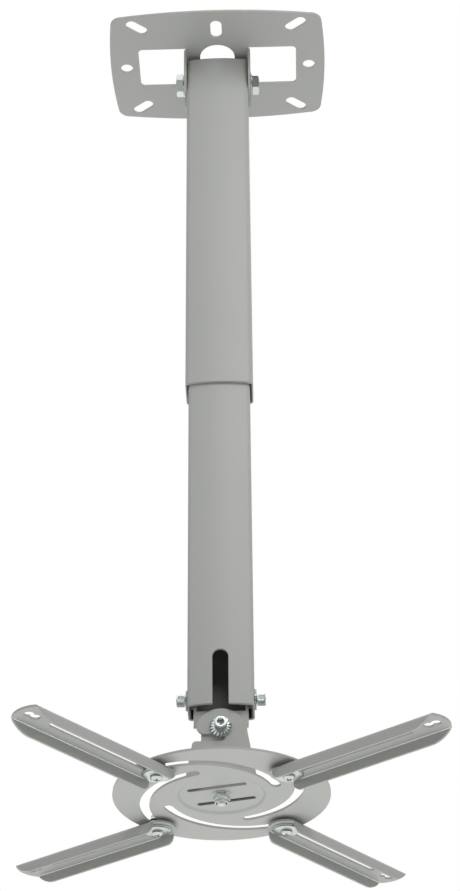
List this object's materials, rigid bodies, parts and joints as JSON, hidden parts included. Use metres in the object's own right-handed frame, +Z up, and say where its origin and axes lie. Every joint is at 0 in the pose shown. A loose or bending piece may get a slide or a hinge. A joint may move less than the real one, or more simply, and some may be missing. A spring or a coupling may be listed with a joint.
{
  "type": "projector ceiling mount",
  "caption": "Telescopic ceiling mount for a projector: slotted ceiling plate, sliding column, tilt and roll knuckle, and a slotted disc with adjustable channel arms.",
  "frame": {"origin": "middle of the ceiling plate's top face, where it meets the ceiling", "axes": "+Z up to the ceiling along the column, +X to the right in the picture along the plate's long side, +Y away from the viewer"},
  "size_m": [0.2902, 0.2847, 0.6612],
  "materials": {
    "grey_paint": "satin silver-grey powder coat",
    "zinc": "bright zinc plate"
  },
  "bodies": {
    "plate": {"ceiling_plate": "grey_paint"},
    "outer": {"outer_tube": "grey_paint", "pivot_bolt_left": "zinc", "pivot_bolt_right": "zinc", "pivot_washer_left": "zinc", "pivot_washer_right": "zinc", "pivot_nut_left": "zinc", "pivot_nut_right": "zinc", "lock_screw_upper": "zinc", "lock_screw_lower": "zinc", "lock_nut_upper": "zinc", "lock_nut_lower": "zinc"},
    "inner": {"inner_tube": "grey_paint"},
    "tilt": {"tilt_bracket": "grey_paint", "tilt_screw_left": "zinc", "tilt_screw_right": "zinc", "tilt_washer_left": "zinc", "tilt_washer_right": "zinc", "tilt_spacer_left": "zinc", "tilt_spacer_right": "zinc", "tilt_nut_left": "zinc", "tilt_nut_right": "zinc", "roll_screw": "zinc", "roll_washer": "zinc", "roll_nut": "zinc"},
    "roll": {"roll_bracket": "grey_paint", "centre_bolt": "zinc", "centre_washer": "zinc", "centre_nut": "zinc"},
    "disc": {"disc": "grey_paint"},
    "screw_1": {"arm_screw_1": "zinc", "arm_spacer_1": "zinc", "arm_ring_1": "zinc", "arm_nut_1": "zinc"},
    "washer_1": {"arm_washer_1": "zinc"},
    "arm_1": {"arm_1": "grey_paint"},
    "screw_2": {"arm_screw_2": "zinc", "arm_spacer_2": "zinc", "arm_ring_2": "zinc", "arm_nut_2": "zinc"},
    "washer_2": {"arm_washer_2": "zinc"},
    "arm_2": {"arm_2": "grey_paint"},
    "screw_3": {"arm_screw_3": "zinc", "arm_spacer_3": "zinc", "arm_ring_3": "zinc", "arm_nut_3": "zinc"},
    "washer_3": {"arm_washer_3": "zinc"},
    "arm_3": {"arm_3": "grey_paint"},
    "screw_4": {"arm_screw_4": "zinc", "arm_spacer_4": "zinc", "arm_ring_4": "zinc", "arm_nut_4": "zinc"},
    "washer_4": {"arm_washer_4": "zinc"},
    "arm_4": {"arm_4": "grey_paint"}
  },
  "joints": [
    {"name": "ceiling_pivot", "type": "hinge", "parent": "plate", "child": "outer", "pos_m": [0, 0, -0.022], "axis": [1, 0, 0], "range_deg": [-25, 25]},
    {"name": "height", "type": "slide", "parent": "outer", "child": "inner", "axis": [0, 0, 1], "range_m": [0, 0.22]},
    {"name": "tilt", "type": "hinge", "parent": "inner", "child": "tilt", "pos_m": [0, 0, -0.58], "axis": [1, 0, 0], "range_deg": [-15, 15]},
    {"name": "roll", "type": "hinge", "parent": "tilt", "child": "roll", "pos_m": [0, 0, -0.6042], "axis": [0, 1, 0], "range_deg": [-10, 10]},
    {"name": "disc_turn", "type": "hinge", "parent": "roll", "child": "disc", "pos_m": [0, 0, -0.65], "axis": [0, 0, 1], "continuous": true},
    {"name": "arc_1", "type": "hinge", "parent": "disc", "child": "screw_1", "pos_m": [-0.01515, 0.00278, -0.65], "axis": [0, 0, 1], "range_deg": [-2.3, 52.7]},
    {"name": "swing_1", "type": "hinge", "parent": "screw_1", "child": "washer_1", "pos_m": [-0.04009, -0.04534, -0.65], "axis": [0, 0, 1], "range_deg": [-90, 90]},
    {"name": "reach_1", "type": "slide", "parent": "washer_1", "child": "arm_1", "axis": [-0.6372, -0.7707, 0], "range_m": [-0.032, 0]},
    {"name": "arc_2", "type": "hinge", "parent": "disc", "child": "screw_2", "pos_m": [-0.00278, -0.01515, -0.65], "axis": [0, 0, 1], "range_deg": [0, 55]},
    {"name": "swing_2", "type": "hinge", "parent": "screw_2", "child": "washer_2", "pos_m": [0.0443, -0.042, -0.65], "axis": [0, 0, 1], "range_deg": [-90, 90]},
    {"name": "reach_2", "type": "slide", "parent": "washer_2", "child": "arm_2", "axis": [0.7979, -0.6028, 0], "range_m": [-0.032, 0]},
    {"name": "arc_3", "type": "hinge", "parent": "disc", "child": "screw_3", "pos_m": [0.01515, -0.00278, -0.65], "axis": [0, 0, 1], "range_deg": [0, 55]},
    {"name": "swing_3", "type": "hinge", "parent": "screw_3", "child": "washer_3", "pos_m": [0.042, 0.0443, -0.65], "axis": [0, 0, 1], "range_deg": [-90, 90]},
    {"name": "reach_3", "type": "slide", "parent": "washer_3", "child": "arm_3", "axis": [0.633, 0.7741, 0], "range_m": [-0.032, 0]},
    {"name": "arc_4", "type": "hinge", "parent": "disc", "child": "screw_4", "pos_m": [0.00278, 0.01515, -0.65], "axis": [0, 0, 1], "range_deg": [0, 55]},
    {"name": "swing_4", "type": "hinge", "parent": "screw_4", "child": "washer_4", "pos_m": [-0.0443, 0.042, -0.65], "axis": [0, 0, 1], "range_deg": [-90, 90]},
    {"name": "reach_4", "type": "slide", "parent": "washer_4", "child": "arm_4", "axis": [-0.8123, 0.5832, 0], "range_m": [-0.032, 0]}
  ]
}
